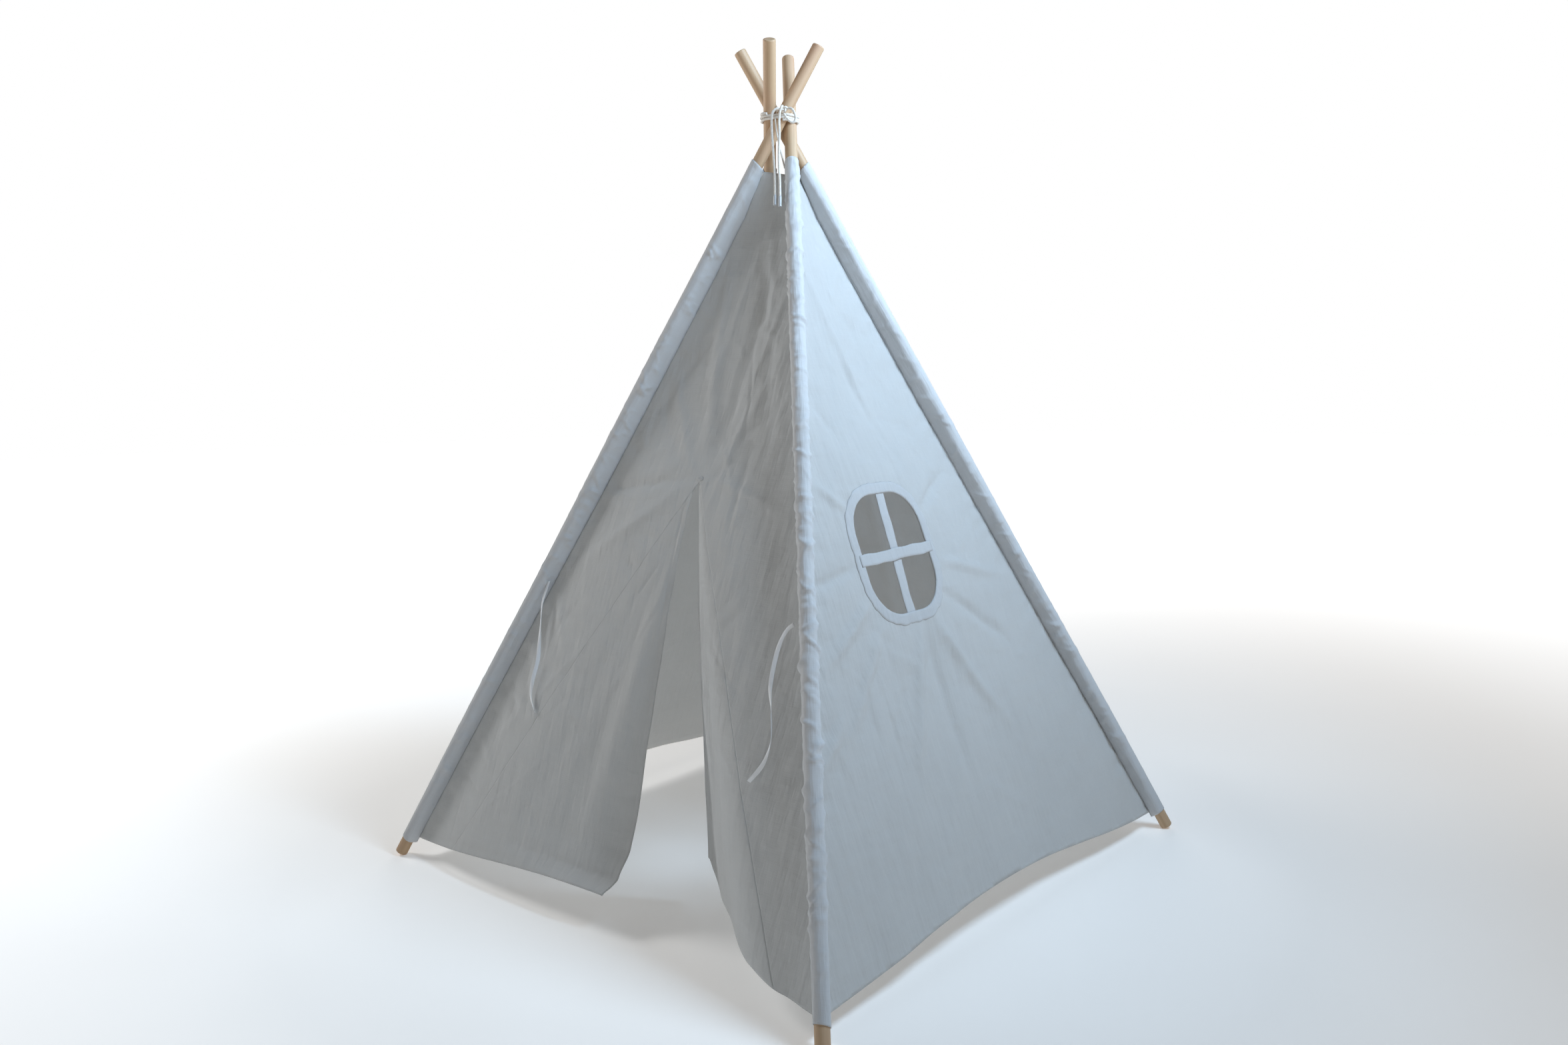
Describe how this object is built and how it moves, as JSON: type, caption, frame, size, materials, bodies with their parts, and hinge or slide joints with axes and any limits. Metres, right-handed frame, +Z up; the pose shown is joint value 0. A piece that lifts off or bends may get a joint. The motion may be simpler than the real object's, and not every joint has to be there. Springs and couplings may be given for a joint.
{
  "type": "tent on poles",
  "caption": "Children's play tent: four lashed wooden poles, white canvas sheets with pole sleeves, a slit door with two flaps and tie ribbons, and a round-cornered window with crossed bars.",
  "frame": {"origin": "on the floor at the centre of the four feet, below the pole crossing", "axes": "+Z up, -Y towards the door's side, +X towards the window's side"},
  "size_m": [1.1476, 1.1476, 1.5849],
  "materials": {
    "pine": "sanded, unvarnished",
    "canvas": "plain woven cotton canvas",
    "tape": "folded cotton tape",
    "cord": "braided cotton",
    "plastic": "smooth"
  },
  "bodies": {
    "front_frame": {"pole_front_left": "pine", "pole_front_right": "pine", "sleeve_front_left": "canvas", "sleeve_front_right": "canvas", "door_sheet": "canvas", "slit_tack": "tape", "side_sheet": "canvas", "lashing_wraps": "cord", "lashing_knot": "cord", "lashing_loop": "cord", "lashing_tail_left": "cord", "lashing_tail_right": "cord", "lashing_tip_left": "plastic", "lashing_tip_right": "plastic", "hanger_cord": "cord", "tie_ribbon_left": "tape", "tie_ribbon_right": "tape"},
    "back_frame": {"pole_back_left": "pine", "pole_back_right": "pine", "sleeve_back_left": "canvas", "sleeve_back_right": "canvas", "back_sheet": "canvas", "window_sheet": "canvas", "window_binding": "tape", "window_bar_level": "tape", "window_bar_upright": "tape"},
    "door_flap_left_body": {"door_flap_left": "canvas"},
    "door_flap_right_body": {"door_flap_right": "canvas"}
  },
  "joints": [
    {"name": "frame_fold", "type": "hinge", "parent": "front_frame", "child": "back_frame", "pos_m": [0, 0, 1.445], "axis": [-1, 0, 0], "range_deg": [0, 34], "deforming": ["side_sheet", "window_sheet", "window_binding", "window_bar_level", "window_bar_upright", "lashing_wraps", "door_flap_left", "door_flap_right"]},
    {"name": "door_left_swing", "type": "hinge", "parent": "front_frame", "child": "door_flap_left_body", "pos_m": [0.02, -0.26202, 0.77487], "axis": [-0.4814, -0.3192, -0.8163], "range_deg": [0, 110]},
    {"name": "door_right_swing", "type": "hinge", "parent": "front_frame", "child": "door_flap_right_body", "pos_m": [0.02, -0.26202, 0.77487], "axis": [-0.4801, 0.3194, 0.817], "range_deg": [0, 110]}
  ]
}
